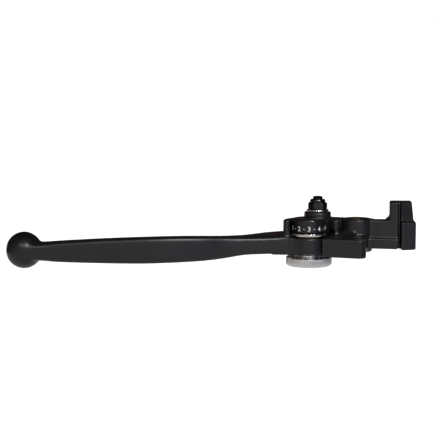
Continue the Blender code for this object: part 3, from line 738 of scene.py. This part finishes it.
def stage_floor():
    mesh = bpy.data.meshes.new("floor")
    work = bmesh.new()
    bmesh.ops.create_grid(work, x_segments=1, y_segments=1, size=4.0)
    work.to_mesh(mesh)
    work.free()
    made = bpy.data.objects.new("floor", mesh)
    bpy.context.scene.collection.objects.link(made)
    made.location = (0.0, 0.0, -0.060)
    pale, _, shader = new_material("pale_floor")
    shader.inputs["Base Color"].default_value = (0.9, 0.9, 0.9, 1.0)
    shader.inputs["Roughness"].default_value = 0.9
    shader.inputs["Emission Color"].default_value = (1.0, 1.0, 1.0, 1.0)
    shader.inputs["Emission Strength"].default_value = 1.0
    mesh.materials.append(pale)
    made.visible_glossy = False
    made.visible_diffuse = False


def along_axis(tree, output, stops):
    """A colour ramp over one component of the direction, from -1 to 1."""
    span = tree.nodes.new("ShaderNodeMapRange")
    span.inputs["From Min"].default_value = -1.0
    span.inputs["From Max"].default_value = 1.0
    tree.links.new(output, span.inputs["Value"])
    return ramp(tree, span.outputs["Result"], [((place + 1.0) / 2.0, colour) for place, colour in stops])


def times(tree, first, second):
    made = tree.nodes.new("ShaderNodeVectorMath")
    made.operation = "MULTIPLY"
    tree.links.new(first, made.inputs[0])
    tree.links.new(second, made.inputs[1])
    return made.outputs["Vector"]


def studio_world():
    """White behind the object; what the object reflects is a dim room, warmer on the left and dark above."""
    world = bpy.data.worlds.new("studio")
    bpy.context.scene.world = world
    world.use_nodes = True
    tree = world.node_tree
    tree.nodes.clear()
    out = tree.nodes.new("ShaderNodeOutputWorld")
    white = tree.nodes.new("ShaderNodeBackground")
    white.inputs["Color"].default_value = (1.0, 1.0, 1.0, 1.0)
    room = tree.nodes.new("ShaderNodeBackground")
    coords = tree.nodes.new("ShaderNodeTexCoord")
    split = tree.nodes.new("ShaderNodeSeparateXYZ")
    tree.links.new(coords.outputs["Generated"], split.inputs["Vector"])
    sideways = along_axis(tree, split.outputs["X"], [
        (-1.0, (0.32, 0.28, 0.27)), (-0.7, (0.47, 0.43, 0.42)), (-0.4, (0.54, 0.51, 0.51)),
        (0.0, (0.56, 0.56, 0.58)), (0.3, (0.60, 0.64, 0.71)), (0.47, (0.58, 0.64, 0.74)),
        (0.62, (0.17, 0.21, 0.28)), (0.85, (0.07, 0.10, 0.14)), (1.0, (0.05, 0.07, 0.10))])
    upward = along_axis(tree, split.outputs["Z"], [
        (-1.0, 0.9), (-0.25, 0.95), (0.12, 1.0), (0.40, 0.55), (0.75, 0.16), (1.0, 0.06)])
    inward = along_axis(tree, split.outputs["Y"], [
        (-1.0, 1.0), (-0.35, 0.85), (0.1, 0.25), (0.6, (0.10, 0.062, 0.058)), (1.0, (0.075, 0.045, 0.045))])
    above = times(tree, times(tree, sideways, upward), inward)
    below = along_axis(tree, split.outputs["Z"], [(-1.0, 1.0), (-0.30, 0.95), (-0.14, 0.0)])
    mix_floor = mixed(tree, below, above, (0.55, 0.54, 0.55))
    tree.links.new(mix_floor, room.inputs["Color"])
    seen = tree.nodes.new("ShaderNodeLightPath")
    mix = tree.nodes.new("ShaderNodeMixShader")
    tree.links.new(seen.outputs["Is Camera Ray"], mix.inputs["Fac"])
    tree.links.new(room.outputs["Background"], mix.inputs[1])
    tree.links.new(white.outputs["Background"], mix.inputs[2])
    tree.links.new(mix.outputs["Shader"], out.inputs["Surface"])


CAMERA_HEIGHT = math.radians(7.0)
CAMERA_DISTANCE = 0.70
VIEW_WIDTH = 0.2112
AIM = Vector((-0.0658, 0.0, 0.0149))

stage_floor()
studio_world()
strip = area_light("strip_above", (0.28, -0.72, 0.56), (0.40, 0.0, 0.01), (0.44, 0.09), 2.5)
strip.data.spread = math.radians(90.0)
area_light("strip_above_left", (-0.33, -0.72, 0.56), (-0.33, 0.0, 0.01), (0.46, 0.09), 1.0,
           (1.0, 0.95, 0.91))
area_light("rim_left", (-0.58, 0.80, -0.12), (-0.05, 0.0, 0.01), (0.22, 0.24), 0.6, (1.0, 0.95, 0.91))
area_light("rim_right", (0.48, 0.80, -0.12), (-0.05, 0.0, 0.01), (0.22, 0.24), 0.6, (0.91, 0.95, 1.0))
camera_data = bpy.data.cameras.new("camera")
camera_data.sensor_width = 36.0
camera_data.lens = 36.0 * CAMERA_DISTANCE / VIEW_WIDTH
camera = bpy.data.objects.new("camera", camera_data)
bpy.context.scene.collection.objects.link(camera)
back = Vector((0.0, -math.cos(CAMERA_HEIGHT), math.sin(CAMERA_HEIGHT)))
camera.location = AIM + back * CAMERA_DISTANCE
camera.rotation_euler = (-back).to_track_quat("-Z", "Y").to_euler()
bpy.context.scene.camera = camera
bpy.context.scene.view_settings.view_transform = "Standard"

bpy.context.view_layer.update()
